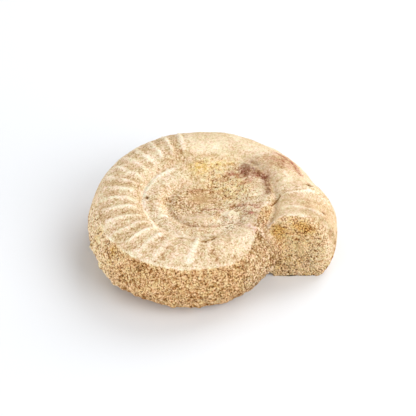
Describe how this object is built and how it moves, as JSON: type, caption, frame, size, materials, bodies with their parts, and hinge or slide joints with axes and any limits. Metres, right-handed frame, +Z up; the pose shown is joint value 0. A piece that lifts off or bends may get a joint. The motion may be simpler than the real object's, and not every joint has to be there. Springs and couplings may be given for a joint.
{
  "type": "ammonite fossil",
  "caption": "Loose ammonite fossil in cream limestone, lying on its side: ribbed coil with a shallow umbilicus, a granular outer wall and a broken mouth.",
  "frame": {"origin": "on the surface the stone rests on, under the middle of its bounding box", "axes": "+Z up, along the axis of the coil; +X towards the side where the mouth is; the broken mouth faces -Y"},
  "size_m": [0.079, 0.0732, 0.0254],
  "materials": {
    "limestone": "matte, chalky cream with granular tan rock"
  },
  "bodies": {
    "root": {"ammonite": "limestone"}
  },
  "joints": []
}
